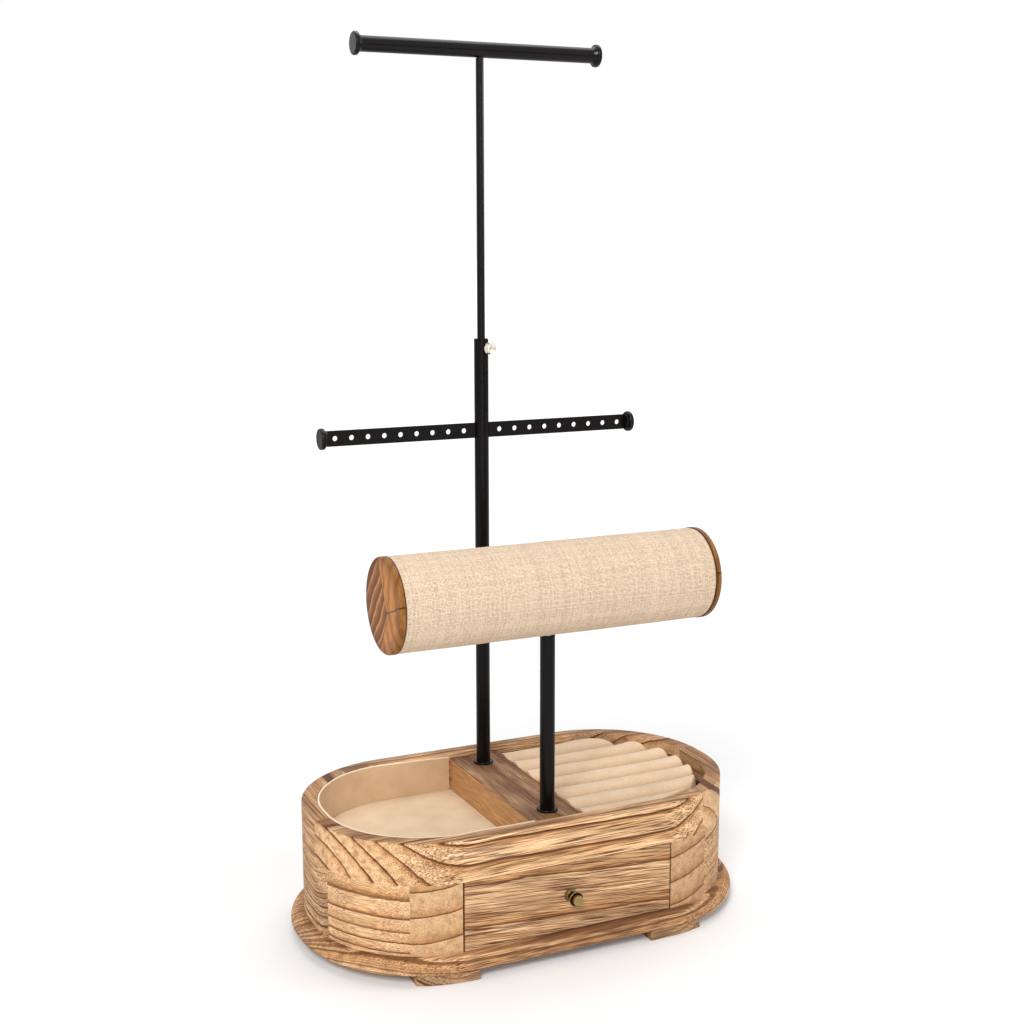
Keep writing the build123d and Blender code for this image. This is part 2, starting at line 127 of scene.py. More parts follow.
def millimetres(finish, source="Object"):
    """The place on the piece in millimetres, from its object coordinates or its UV map."""
    place = new_node(finish, "TexCoord").outputs[source]
    return vector(finish, "SCALE", place, 1 / MM)


def noise(finish, place, size, detail=2.0):
    """Soft noise from 0 to 1 with blobs about size across."""
    texture = new_node(finish, "TexNoise")
    settings(finish, texture, {"Vector": place, "Scale": 1 / size, "Detail": detail})
    return texture.outputs[0]


def part_of(finish, place, axis):
    """One coordinate of a place: X, Y or Z."""
    step = new_node(finish, "SeparateXYZ")
    feed(finish, place, step.inputs[0])
    return step.outputs[axis]


def drawn_lot(finish, count):
    """A random number from 0 to 1 that belongs to the whole number count."""
    step = new_node(finish, "TexWhiteNoise")
    step.noise_dimensions = "1D"
    feed(finish, count, step.inputs["W"])
    return step.outputs["Value"]


def ramp(finish, value, *stops):
    """Turns a number into a colour or a grey, through stops of (position, colour or grey)."""
    step = new_node(finish, "ValToRGB")
    feed(finish, value, step.inputs[0])
    elements = step.color_ramp.elements
    while len(elements) < len(stops):
        elements.new(0.5)
    for element, (position, colour) in zip(elements, stops):
        element.position = position
        element.color = colour if isinstance(colour, tuple) else (colour, colour, colour, 1)
    return step.outputs[0]


def blend_colours(finish, share, below, above, kind="MIX"):
    """Lays one colour over another by a share from 0 to 1."""
    step = new_node(finish, "Mix")
    step.data_type = "RGBA"
    step.blend_type = kind
    feed(finish, share, step.inputs[0])
    feed(finish, below, step.inputs[6])
    feed(finish, above, step.inputs[7])
    return step.outputs[2]


def grained(finish, place, along, shift):
    """A place moved back along the grain by a share of its distance there, so that what is drawn
    with it comes out 1 / (1 - shift) times longer that way."""
    distance = vector(finish, "DOT_PRODUCT", place, along)
    moved = vector(finish, "SCALE", along, number(finish, "MULTIPLY", distance, shift))
    return vector(finish, "SUBTRACT", place, moved)


def raised(finish, shader, height, depth):
    """Gives the surface a relief of that depth in millimetres."""
    step = new_node(finish, "Bump")
    settings(finish, step, {"Distance": depth * MM, "Height": height})
    feed(finish, step.outputs["Normal"], shader.inputs["Normal"])


wood_light = seen(240, 196, 150)
wood_middle = seen(216, 163, 110)
wood_brown = seen(168, 111, 63)
growth_line = seen(80, 45, 22)
soot = seen(97, 56, 29)
line_width = 0.75
usual_radius = 70


def burnt_wood(
    name, along, pith, spacing, tighten=1e6, start=0.0, waves=3.0, uneven=0.0, line=1.0,
    burn=0.35, char=0.7, top=None, top_burn=0.4, side=None, ends=None, tone=1.0,
):
    """Burnt and brushed wood. A point's ring count is r / spacing + (r / tighten)**2 + start,
    where r is its distance from the pith, a line through the point pith along the grain. Each
    ring goes from honey to brown and ends in a dark line. Streaks of two sizes run with the
    grain and fade where the cut shows its end. Above the height top the wood is browner, and
    below it side may give a bare colour. ends is the half-length at which a board's two ends are
    charred. tone makes a whole board paler or browner."""
    finish, shader = new_finish(name)
    shades = wood_light, wood_middle, wood_brown
    light, middle, brown = ((*(part * tone for part in shade[:3]), 1.0) for shade in shades)
    along = tuple((np.array(along) / np.linalg.norm(along)).tolist())
    place = millimetres(finish)

    def drawn_out(stretch):
        return grained(finish, place, along, 1 - 1 / stretch)

    off = vector(finish, "CROSS_PRODUCT", vector(finish, "SUBTRACT", place, pith), along)
    radius = vector(finish, "LENGTH", off)
    sway = number(finish, "SUBTRACT", noise(finish, drawn_out(4), 28), 0.5)
    quiver = number(finish, "SUBTRACT", noise(finish, drawn_out(5), 5), 0.5)
    radius = number(finish, "MULTIPLY_ADD", sway, waves * 2, radius)
    radius = number(finish, "MULTIPLY_ADD", quiver, waves * 0.45, radius)
    crowd = number(finish, "POWER", number(finish, "DIVIDE", radius, tighten), 2)
    count = number(finish, "MULTIPLY_ADD", radius, 1 / spacing, crowd)
    years = new_node(finish, "TexNoise")
    years.noise_dimensions = "1D"
    settings(finish, years, {"W": number(finish, "MULTIPLY", count, 0.45), "Detail": 0})
    spread = number(finish, "SUBTRACT", years.outputs[0], 0.5)
    count = number(finish, "MULTIPLY_ADD", spread, uneven * 4, count)
    count = number(finish, "ADD", count, start)
    phase = number(finish, "FRACT", count)
    ring = drawn_lot(finish, number(finish, "FLOOR", count))

    # The share of a ring that the dark line takes, so that lines keep one width in millimetres.
    dark = min(0.3, line_width * (1 / spacing + 2 * usual_radius / tighten**2))
    pale_part = min(0.6, 0.96 - 2.2 * dark)
    drawn = ramp(
        finish, phase, (0.0, light), (pale_part, light), (1 - 2.0 * dark, middle),
        (1 - 1.2 * dark, brown), (1 - 0.9 * dark, growth_line), (1 - 0.25 * dark, growth_line),
        (1.0, light),
    )
    plain = ramp(finish, phase, (0.0, light), (0.8, middle), (1.0, brown))
    strength = number(finish, "MULTIPLY_ADD", ring, 0.4, 0.6)
    colour = blend_colours(finish, number(finish, "MULTIPLY", strength, line), plain, drawn)

    bands = ramp(
        finish, noise(finish, drawn_out(18), 4, 5), (0.34, (1.15, 1.14, 1.11, 1)),
        (0.5, (0.98, 0.96, 0.92, 1)), (0.66, (0.66, 0.55, 0.44, 1)),
    )
    colour = blend_colours(finish, char, colour, bands, "MULTIPLY")
    facing = new_node(finish, "NewGeometry").outputs["Normal"]
    end_grain = number(finish, "ABSOLUTE", vector(finish, "DOT_PRODUCT", facing, along))
    long_grain = ramp(finish, end_grain, (0.3, 1.0), (0.85, 0.25))
    streaks = noise(finish, drawn_out(60), 0.46, 3)
    streaks = ramp(finish, streaks, (0.49, 0.0), (0.62, 1.0))
    streaks = number(finish, "MULTIPLY", streaks, long_grain)
    colour = blend_colours(finish, number(finish, "MULTIPLY", streaks, char), colour, soot)
    fibres = noise(finish, drawn_out(40), 0.45, 2)
    fibres = ramp(finish, fibres, (0.36, 0.68), (0.64, 1.26))
    colour = blend_colours(finish, 1.0, colour, fibres, "MULTIPLY")
    scorch = ramp(finish, noise(finish, drawn_out(3), 24, 3), (0.42, 0.0), (0.68, 1.0))
    colour = blend_colours(finish, number(finish, "MULTIPLY", scorch, burn), colour, soot)
    if top is not None:
        above = number(finish, "SUBTRACT", part_of(finish, place, "Z"), top - 1.0)
        above = ramp(finish, above, (0.2, 0.0), (0.8, 1.0))
        if side is not None:
            bare = blend_colours(finish, 1.0, side, fibres, "MULTIPLY")
            colour = blend_colours(finish, above, bare, colour)
        scorched = number(finish, "MULTIPLY_ADD", scorch, 0.5, top_burn)
        colour = blend_colours(finish, number(finish, "MULTIPLY", above, scorched), colour, soot)
    if ends is not None:
        out = number(finish, "ABSOLUTE", part_of(finish, place, "X"))
        past = number(finish, "SUBTRACT", out, ends - 1.0)
        charred = ramp(finish, past, (0.2, 0.0), (0.75, 0.9))
        colour = blend_colours(finish, charred, colour, growth_line)
    settings(finish, shader, {"Base Color": colour, "Roughness": 0.62, "Specular IOR Level": 0.3})
    grooves = ramp(finish, phase, (1 - 1.4 * dark, 1.0), (1 - 0.6 * dark, 0.4), (1.0, 1.0))
    relief = number(finish, "MULTIPLY_ADD", streaks, -0.8, grooves)
    raised(finish, shader, number(finish, "ADD", relief, fibres), 0.22)
    return finish


def finished(finish, *named):
    """Gives the named CAD nodes their material."""
    for node in named:
        slots = nodes[node].data.materials
        slots.clear()
        slots.append(finish)


plate_wood = burnt_wood(
    "burnt_plate", (1, 0.03, 0.004), (0, -60, -110), 2.6, waves=1.7, uneven=0.35, line=0.72,
    burn=0.5, char=0.85, tone=1.03, top=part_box("base_plate")[1].z / MM, top_burn=0.12,
)
finished(plate_wood, "base_plate")
for side, pith_x in (("left", -95), ("right", 85)):
    for end, pith_y in (("front", -30), ("back", 40)):
        foot_wood = burnt_wood(
            f"burnt_foot_{end}_{side}", (1, 0, 0.05), (pith_x, pith_y, -40), 5, uneven=0.4,
            burn=0.6, char=0.7, tone=0.62,
        )
        finished(foot_wood, f"foot_{end}_{side}")


# ---- Housing blocks round the drawer ----
# Short blocks of the same wood, glued end to end with upright joints and turned to the round
# outline together, so each shows its own rings and grain direction beside its neighbour's.
corner_wood = burnt_wood(
    "burnt_corner_front_left", (-0.62, 0.78, 0), (-125, -47, 92), -13.9, 24.47,
    start=0.234, waves=1.3, line=0.8, burn=0.05, char=0.45, tone=1.10,
)
finished(corner_wood, "corner_front_left")
for node, along, pith, spacing in (
    ("corner_front_right", (0.7, 0.7, 0.1), (125, -40, 130), 11),
    ("corner_back_left", (0.62, 0.78, 0), (-120, 40, -30), 9),
    ("corner_back_right", (-0.62, 0.78, 0), (120, 40, 100), 10),
):
    finished(burnt_wood(f"burnt_{node}", along, pith, spacing, uneven=0.3), node)
for side, pith_x, start, tone in (("left", -112, 0.97, 0.87), ("right", 70, 0.60, 0.75)):
    stile_wood = burnt_wood(
        f"burnt_stile_{side}", (0.12, 1, 0.08), (pith_x, 0, 235), 17, start=start,
        waves=1.4, burn=0.1, char=0.6, line=0.85, tone=tone,
    )
    finished(stile_wood, f"stile_{side}")
for side, depth in (("left", -66), ("right", -50)):
    end_wood = burnt_wood(
        f"burnt_end_block_{side}", (0, 1, 0.04), (0, 0, depth), 7.2, uneven=0.5,
        burn=0.4, char=0.8, tone=1.06,
    )
    finished(end_wood, f"end_block_{side}")
back_wood = burnt_wood("burnt_back_board", (1, 0, 0.05), (0, 30, 150), 11, waves=6, uneven=0.4)
finished(back_wood, "back_board")


# ---- Top frame and divider ----
# Two long curved boards and two end blocks make the thick frame. Their rings lie round a pith
# low inside the frame, so the growth lines run level along the front and fall across the round
# ends. The flame caught the upper faces most, and the bar across the middle is burnt on top.
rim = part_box("top_front_board")[1].z / MM
top_front_wood = burnt_wood(
    "burnt_top_front", (1, 0, 0.004), (0, -10.7, 38.8), 61, 36.6, start=-0.26,
    waves=1.7, burn=0.12, char=0.95, top=rim, top_burn=0.2, tone=1.13,
)
finished(top_front_wood, "top_front_board")
top_back_wood = burnt_wood(
    "burnt_top_back", (1, 0, -0.004), (0, 14, 34), 61, 36.6, start=0.2,
    waves=2.2, burn=0.3, char=0.8, top=rim, top_burn=0.25,
)
finished(top_back_wood, "top_back_board")
for side, pith_x in (("left", -40), ("right", 40)):
    top_end_wood = burnt_wood(
        f"burnt_top_{side}", (0, 1, 0), (pith_x, 0, -20), 13, start=0.55, waves=2.5,
        uneven=0.3, burn=0.2, char=0.6, top=rim, top_burn=0.25,
    )
    finished(top_end_wood, f"top_{side}_block")

divider_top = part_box("divider_bar")[1].z / MM
divider_wood = burnt_wood(
    "burnt_divider", (0, 1, 0), (-30, 0, 10), 6.5, waves=2.5, burn=0.5, char=0.9,
    top=divider_top, top_burn=0.45, side=seen(203, 153, 103),
)
finished(divider_wood, "divider_bar")


# ---- Plain inner wood ----
# The drawer's sides and back, the strips that guide it and the thin panels under the linings are
# the same light wood, sanded and left bare.
def bare_wood(name, along, pale, deep, ply=False):
    """Unburnt wood: pale growth bands, fine fibres along the grain, and the thin dark and light
    layers of plywood on its edges where ply is set."""
    finish, shader = new_finish(name)
    place = millimetres(finish)
    drawn = grained(finish, place, along, 0.94)
    bands = ramp(finish, noise(finish, drawn, 5, 3), (0.35, pale), (0.7, deep))
    fibres = ramp(finish, noise(finish, drawn, 0.5, 3), (0.3, 0.86), (0.7, 1.06))
    colour = blend_colours(finish, 1.0, bands, fibres, "MULTIPLY")
    if ply:
        layer = number(finish, "MULTIPLY", part_of(finish, place, "Z"), 2 * math.pi)
        layer = number(finish, "SINE", layer)
        layer = ramp(finish, layer, (0.3, 0.82), (0.7, 1.0))
        colour = blend_colours(finish, 0.8, colour, layer, "MULTIPLY")
    settings(finish, shader, {"Base Color": colour, "Roughness": 0.7})
    raised(finish, shader, fibres, 0.06)
    return finish


side_wood = bare_wood("bare_side", (0, 1, 0), seen(226, 190, 146), seen(205, 162, 116))
cross_wood = bare_wood("bare_cross", (1, 0, 0), seen(226, 190, 146), seen(205, 162, 116))
ply_wood = bare_wood("bare_ply", (1, 0, 0), seen(214, 176, 130), seen(190, 148, 104), ply=True)
for side in ("left", "right"):
    finished(side_wood, f"drawer_guide_{side}", f"drawer_side_{side}")
finished(cross_wood, "drawer_back", "roll_block")
finished(ply_wood, "tray_floor", "ring_pad_board", "drawer_bottom")


# ---- Drawer front ----
# One board with the grain lying along it, falling a little from left to right, and wavier than the
# frame's. Its sawn ends are charred, which draws a dark line beside each stile.
front_wood = burnt_wood(
    "burnt_drawer_front", (1, 0, -0.075), (0, 20, 150), 21, start=0.35, waves=5.5,
    burn=0.4, char=1.0, line=0.8, tone=0.95, ends=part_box("drawer_front")[1].x / MM,
)
finished(front_wood, "drawer_front")


# ---- Knob ----
# A small turned brass knob, darkened and rubbed bright on its edges: a stepped rosette against
# the wood, a waisted neck, and a drum head with a groove behind its bright rim.
def surface(name, grid, capped=True, uv=None, sharp=40):
    """A mesh through the points grid[row, column], where the last column joins the first. capped
    closes the first and last rows with one point each. uv, if given, is one pair for each row and
    column, and has one column more."""
    rows, columns = grid.shape[:2]
    points = grid.reshape(-1, 3)
    index = np.arange(rows * columns).reshape(rows, columns)
    index = np.hstack([index, index[:, :1]])
    corners = [index[:-1, :-1], index[:-1, 1:], index[1:, 1:], index[1:, :-1]]
    faces = np.stack(corners, -1).reshape(-1, 4).tolist()
    if capped:
        points = np.vstack([points, grid[0].mean(0), grid[-1].mean(0)])
        first, last = rows * columns, rows * columns + 1
        ring = index[0]
        faces += [(first, b, a) for a, b in zip(ring[:-1].tolist(), ring[1:].tolist())]
        ring = index[-1]
        faces += [(last, a, b) for a, b in zip(ring[:-1].tolist(), ring[1:].tolist())]
    mesh = bpy.data.meshes.new(name)
    mesh.from_pydata(points.tolist(), [], faces)
    if uv is not None:
        pairs = np.stack([uv[:-1, :-1], uv[:-1, 1:], uv[1:, 1:], uv[1:, :-1]], 2).reshape(-1, 2)
        spare = len(mesh.loops) - len(pairs)
        pairs = np.vstack([pairs, np.repeat(uv[:1, 0], spare, 0)])
        layer = mesh.uv_layers.new(name="cloth")
        layer.data.foreach_set("uv", pairs.ravel())
    return piece(name, mesh, sharp)


def placed(name, data):
    """A new object in the scene for a mesh, a lamp or a camera."""
    made = bpy.data.objects.new(name, data)
    bpy.context.scene.collection.objects.link(made)
    return made


def piece(name, mesh, sharp):
    """An object for a mesh, with its doubles merged, its faces outwards and its curves smooth."""
    shell = bmesh.new()
    shell.from_mesh(mesh)
    bmesh.ops.remove_doubles(shell, verts=shell.verts, dist=1e-6)
    bmesh.ops.recalc_face_normals(shell, faces=shell.faces)
    shell.to_mesh(mesh)
    shell.free()
    mesh.polygons.foreach_set("use_smooth", [True] * len(mesh.polygons))
    mesh.set_sharp_from_angle(angle=math.radians(sharp))
    return placed(name, mesh)


def turned(name, profile, centre, axis, sides=64, relief=None):
    """A turned piece: each (distance along the axis, radius) of the profile is carried round the
    axis from centre. relief, if given, is a factor on the radius for each row and angle."""
    axis = np.array(axis, float) / np.linalg.norm(axis)
    side = np.cross(axis, (0, 0, 1)) if abs(axis[2]) < 0.9 else np.array([1.0, 0, 0])
    side = side / np.linalg.norm(side)
    up = np.cross(axis, side)
    out, radius = np.array(profile, float).T
    angle = np.linspace(0, 2 * math.pi, sides, endpoint=False)
    spread = radius[:, None] * (1 if relief is None else relief(out, angle))
    ring = np.cos(angle)[:, None] * side + np.sin(angle)[:, None] * up
    grid = np.array(centre) + out[:, None, None] * axis + spread[..., None] * ring
    return surface(name, grid * MM)


def metal(name, worn, deep, roughness, patch=2.0, metallic=1.0):
    """Metal whose colour and gloss drift between worn and deep in soft patches."""
    finish, shader = new_finish(name)
    place = millimetres(finish)
    drift = ramp(finish, noise(finish, place, patch, 3), (0.35, deep), (0.65, worn))
    gloss = noise(finish, place, patch / 2, 2)
    gloss = ramp(finish, gloss, (0.3, roughness * 0.85), (0.7, roughness * 1.15))
    settings(finish, shader, {"Base Color": drift, "Roughness": gloss, "Metallic": metallic})
    raised(finish, shader, noise(finish, place, 0.35, 2), 0.03)
    return finish


knob_low, knob_high = (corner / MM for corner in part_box("drawer_knob"))
knob_centre = [(knob_low.x + knob_high.x) / 2, knob_high.y, (knob_low.z + knob_high.z) / 2]
knob_length = knob_high.y - knob_low.y
head = (knob_high.x - knob_low.x) / 2
drum = 3.6
neck = 2.2
# The profile, as pairs of the distance in front of the drawer and the radius there.
rosette = [(0.0, 4.2), (0.25, 4.45), (0.8, 4.45), (1.05, 4.25)]
rosette_step = [(1.1, 3.75), (1.2, 3.65), (1.75, 3.6), (1.95, 3.35)]
waist = [(2.0 + 5.2 * t, neck + (2 * t - 1) ** 4) for t in np.linspace(0, 1, 13)]
bright_ring = [
    (7.3, 3.5), (7.45, 4.4), (7.6, head - 0.12), (7.8, head), (8.4, head), (8.6, head - 0.12),
    (8.7, head - 0.4),
]
groove = [
    (8.75, drum - 0.1), (8.9, drum - 0.5), (9.35, drum - 0.5), (9.5, drum - 0.4),
    (9.55, drum - 0.15),
]
drum_side = [(9.7, drum), (knob_length - 0.5, drum), (knob_length - 0.15, drum - 0.15)]
drum_face = [
    (knob_length, drum - 0.45), (knob_length, drum - 1.2), (knob_length - 0.03, 1.5),
    (knob_length - 0.04, 0.5),
]
knob_profile = rosette + rosette_step + waist + bright_ring + groove + drum_side + drum_face
knob = turned("knob", knob_profile, knob_centre, (0, -1, 0))


def patinated_brass(name, face):
    """Antique brass. Its colour follows t, the distance in front of the drawer over the knob's
    length: rubbed on the rosette's edge and the drum and brightest on the ring, nearly black in
    the neck and in the groove between ring and drum, and dull olive on the face."""
    finish, shader = new_finish(name)
    place = millimetres(finish)
    in_front = number(finish, "SUBTRACT", face, part_of(finish, place, "Y"))
    t = number(finish, "DIVIDE", in_front, knob_length)
    bright, rubbed, dark = seen(206, 186, 140), seen(150, 124, 78), seen(46, 32, 20)
    colour = ramp(
        finish, t, (0.0, dark), (0.03, dark), (0.085, rubbed), (0.10, dark), (0.15, rubbed),
        (0.19, dark), (0.56, dark), (0.61, rubbed), (0.65, bright), (0.70, bright), (0.72, dark),
        (0.79, dark), (0.81, rubbed), (0.975, rubbed), (1.0, seen(164, 144, 96)),
    )
    mottle = ramp(finish, noise(finish, place, 1.1, 3), (0.3, 0.78), (0.65, 1.04))
    colour = blend_colours(finish, 1.0, colour, mottle, "MULTIPLY")
    gloss = ramp(finish, t, (0.0, 0.4), (0.55, 0.32), (0.68, 0.24), (0.95, 0.3), (0.99, 0.5))
    settings(finish, shader, {"Base Color": colour, "Roughness": gloss, "Metallic": 1.0})
    raised(finish, shader, noise(finish, place, 0.3, 2), 0.012)
    return finish


antique_brass = patinated_brass("antique_brass", knob_centre[1])
knob.data.materials.append(antique_brass)
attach(knob, "drawer")
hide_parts("drawer_knob")
zinc = metal("zinc_plate", seen(200, 200, 204), seen(160, 162, 168), 0.3, 3.0)
finished(
    zinc, "pole_bolts", "pole_plugs", "post_stud", "roll_insert", "necklace_bar_hub",
    "drawer_knob_screw",
)


# ---- Linings of tray and drawer ----
# Card covered with short-napped suede cloth: a strip bent round the tray's wall, whose cut edge
# shows pale along the rim, and a pad on the floor of tray and drawer.
def napped(name, pale, deep, nap=0.5, edge=None, fold=None):
    """Napped cloth: brushed patches, a fine fluff of fibres, and a soft sheen. edge is the colour
    of the cut edge, where the UV map's second number is below half a millimetre. fold is the
    pair of heights between which painted shade, for the shade deep in a fold, fades from dark
    to plain."""
    finish, shader = new_finish(name)
    place = millimetres(finish)
    brushed = ramp(finish, noise(finish, place, 16, 4), (0.3, deep), (0.7, pale))
    fluff = ramp(finish, noise(finish, place, nap, 4), (0.3, 0.86), (0.7, 1.10))
    colour = blend_colours(finish, 1.0, brushed, fluff, "MULTIPLY")
    if edge is not None:
        down = part_of(finish, millimetres(finish, "UV"), "Y")
        cut = ramp(finish, down, (0.35, 1.0), (0.6, 0.0))
        colour = blend_colours(finish, cut, colour, edge)
    if fold is not None:
        rise = number(finish, "SUBTRACT", part_of(finish, place, "Z"), fold[0])
        rise = number(finish, "DIVIDE", rise, fold[1] - fold[0])
        # Painted shade: the colour darkens downwards into the fold, where less light reaches.
        painted_fold_shade = ramp(
            finish, rise, (0.0, (0.50, 0.42, 0.35, 1)), (0.45, (0.80, 0.75, 0.70, 1)),
            (1.0, (1.0, 1.0, 1.0, 1)),
        )
        colour = blend_colours(finish, 1.0, colour, painted_fold_shade, "MULTIPLY")
    settings(finish, shader, {
        "Base Color": colour, "Roughness": 0.92, "Specular IOR Level": 0.15,
        "Sheen Weight": 0.15, "Sheen Roughness": 0.45,
    })
    raised(finish, shader, fluff, 0.12)
    return finish


# The round ends' outlines are quarter circles about the four points at plus or minus these.
arc_x = 71.2
arc_y = 4.8
lining_low, lining_high = (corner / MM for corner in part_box("tray_wall_lining"))
lining_radius = -lining_low.x - arc_x
lining_thickness = 1.15


def tray_path(radius, start_x, straight_count, turn_count):
    """Points round the tray at a radius, from start_x by the divider's front end round the left
    to its back end: a straight run and a quarter turn, and the same mirrored."""
    turn = np.linspace(0, math.pi / 2, turn_count)
    quarter = np.stack([-arc_x - radius * np.sin(turn), -arc_y - radius * np.cos(turn)], -1)
    straight = np.linspace((start_x, quarter[0, 1]), quarter[0], straight_count, endpoint=False)
    front = np.vstack([straight, quarter])
    return np.vstack([front, front[::-1] * (1, -1)])


outer_path = tray_path(lining_radius, lining_high.x, 24, 80)
inner_path = tray_path(lining_radius - lining_thickness, lining_high.x, 24, 80)
steps = np.linalg.norm(np.diff(outer_path, axis=0), axis=1)
run = np.concatenate([[0], np.cumsum(steps)])
# The strip's upper edge lies just under the rim, waves a little along its run, and sinks over the
# last part of it, behind the divider.
edge_below_rim = 0.35
end_sinks = 2.2
sinks_from = 0.72
sinking = np.clip((run / run[-1] - sinks_from) / (1 - sinks_from), 0, 1) ** 2
edge_height = rim - edge_below_rim - end_sinks * sinking
edge_height += 0.10 * np.sin(run / 17) + 0.06 * np.sin(run / 5.3 + 1)
lining_floor = lining_low.z + 0.1
# Each column of the strip lies at a share across its thickness, from 0 on the wall to 1 on the
# tray's side, and at a share down from its edge. On the tray's side it stands off and ripples.
levels = (0.012, 0.2, 0.6, 1.0)
edge_shares = 0.5 - 0.5 * np.cos(np.linspace(0, math.pi, 9)[1:-1])
section = [(0, down) for down in levels[::-1]]
section += [(across, 0) for across in edge_shares.tolist()]
section += [(1, down) for down in levels]
stand_off = 0.12
columns = []
for across, down in section:
    flat = outer_path + (inner_path - outer_path) * across
    towards = np.array([-arc_x, 0.0]) - flat
    towards = towards / np.linalg.norm(towards, axis=1)[:, None]
    ripple = stand_off * np.sin(run / 23 + 2) * across * (down > 0) * (1 - down)
    flat = flat + towards * (stand_off + ripple)[:, None] * (across > 0)
    columns.append(np.column_stack([flat, edge_height - down * (edge_height - lining_floor)]))
lining_grid = np.stack(columns, 1)
drop = rim - lining_grid[:, :, 2]
drop = np.hstack([drop, drop[:, :1]]) - drop.min(1)[:, None]
lining_uv = np.stack([np.repeat(run[:, None], len(columns) + 1, 1), drop], -1) * MM
wall_lining = surface("wall_lining", lining_grid * MM, uv=lining_uv, sharp=60)
suede = napped("suede_lining", seen(212, 181, 146), seen(200, 168, 132), edge=seen(240, 222, 196))
wall_lining.data.materials.append(suede)
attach(wall_lining, "stand")
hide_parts("tray_wall_lining")


def flat_pad(name, outline, low, thickness):
    """A thin pad with soft edges: rings of the outline, drawn in towards its middle, run from the
    middle of the underside out, up round the edge and back to the middle of the top. Each ring is
    a share of the way out, an inset and a height, and the top swells in slow waves."""
    middle = outline.mean(0)
    reach = np.linalg.norm(outline - middle, axis=1)[:, None]
    quarter = np.linspace(0, math.pi / 2, 6)
    soften = 0.35
    underside = [(out, 0.0, 0.0) for out in (0.0, 0.4, 0.8)]
    lower = [(1.0, soften * (1 - math.sin(a)), thickness / 2 * (1 - math.cos(a))) for a in quarter]
    upper = [(out, inset, thickness - height) for out, inset, height in lower[::-1]]
    top = [(out, 0.0, thickness) for out in (0.8, 0.6, 0.4, 0.2, 0.0)]
    smallest = 0.002
    grid = []
    for out, inset, height in underside + lower + upper + top:
        scale = max(out, smallest) * (1 - inset / reach)
        swell = np.zeros_like(reach)
        if height == thickness and 0 < out < 1:
            swell = 0.12 * np.sin(outline[:, :1] / 11 + out * 5)
        grid.append(np.hstack([middle + (outline - middle) * scale, low + height + swell]))
    return surface(name, np.stack(grid) * MM, sharp=60)


pad_low, pad_high = (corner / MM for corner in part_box("tray_floor_pad"))
pad_radius = -pad_low.x - arc_x
end_side = np.linspace((pad_high.x, pad_high.y), (pad_high.x, pad_low.y), 24, endpoint=False)[1:]
tray_outline = np.vstack([tray_path(pad_radius, pad_high.x, 20, 40), end_side])
floor_pad = flat_pad("tray_floor_pad_cloth", tray_outline, pad_low.z, pad_high.z - pad_low.z)
floor_suede = napped("suede_floor", seen(224, 200, 168), seen(214, 188, 156))
floor_pad.data.materials.append(floor_suede)
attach(floor_pad, "stand")
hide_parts("tray_floor_pad")

cloth_low, cloth_high = (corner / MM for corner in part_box("drawer_lining"))
corners = [
    (cloth_low.x, cloth_low.y), (cloth_high.x, cloth_low.y),
    (cloth_high.x, cloth_high.y), (cloth_low.x, cloth_high.y),
]
drawer_outline = np.vstack([
    np.linspace(a, b, 24, endpoint=False) for a, b in zip(corners, corners[1:] + corners[:1])
])
cloth_thickness = cloth_high.z - cloth_low.z
drawer_cloth = flat_pad("drawer_lining_cloth", drawer_outline, cloth_low.z, cloth_thickness)
drawer_cloth.data.materials.append(floor_suede)
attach(drawer_cloth, "drawer")
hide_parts("drawer_lining")


# ---- Ring pad ----
# Seven foam bars wrapped in cream velvet that is tucked down between them, so that a ring's band
# slips into the fold. Each bar has a round back, and its free end stands up steeply a few
# millimetres short of the frame's curved wall.
roll_low, roll_high = (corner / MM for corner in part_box("ring_pad_rolls"))
roll_count = 7
pad_depth = roll_high.y - roll_low.y
end_gap = 5.0
envelope_radius = roll_high.x - arc_x - end_gap
pitch = pad_depth / roll_count
slot_width = 0.9
half_width = (pitch - slot_width) / 2
crown = 9.4
end_round = 3.8
end_sag = 1.5
sag_run = 10
side_steps = 8
# The velvet carries painted shade, darkest low in the slots between the bars.
velvet = napped(
    "cream_velvet", seen(226, 200, 170), seen(217, 189, 158), nap=0.8,
    fold=(roll_high.z - 9.0, roll_high.z - 1.0),
)


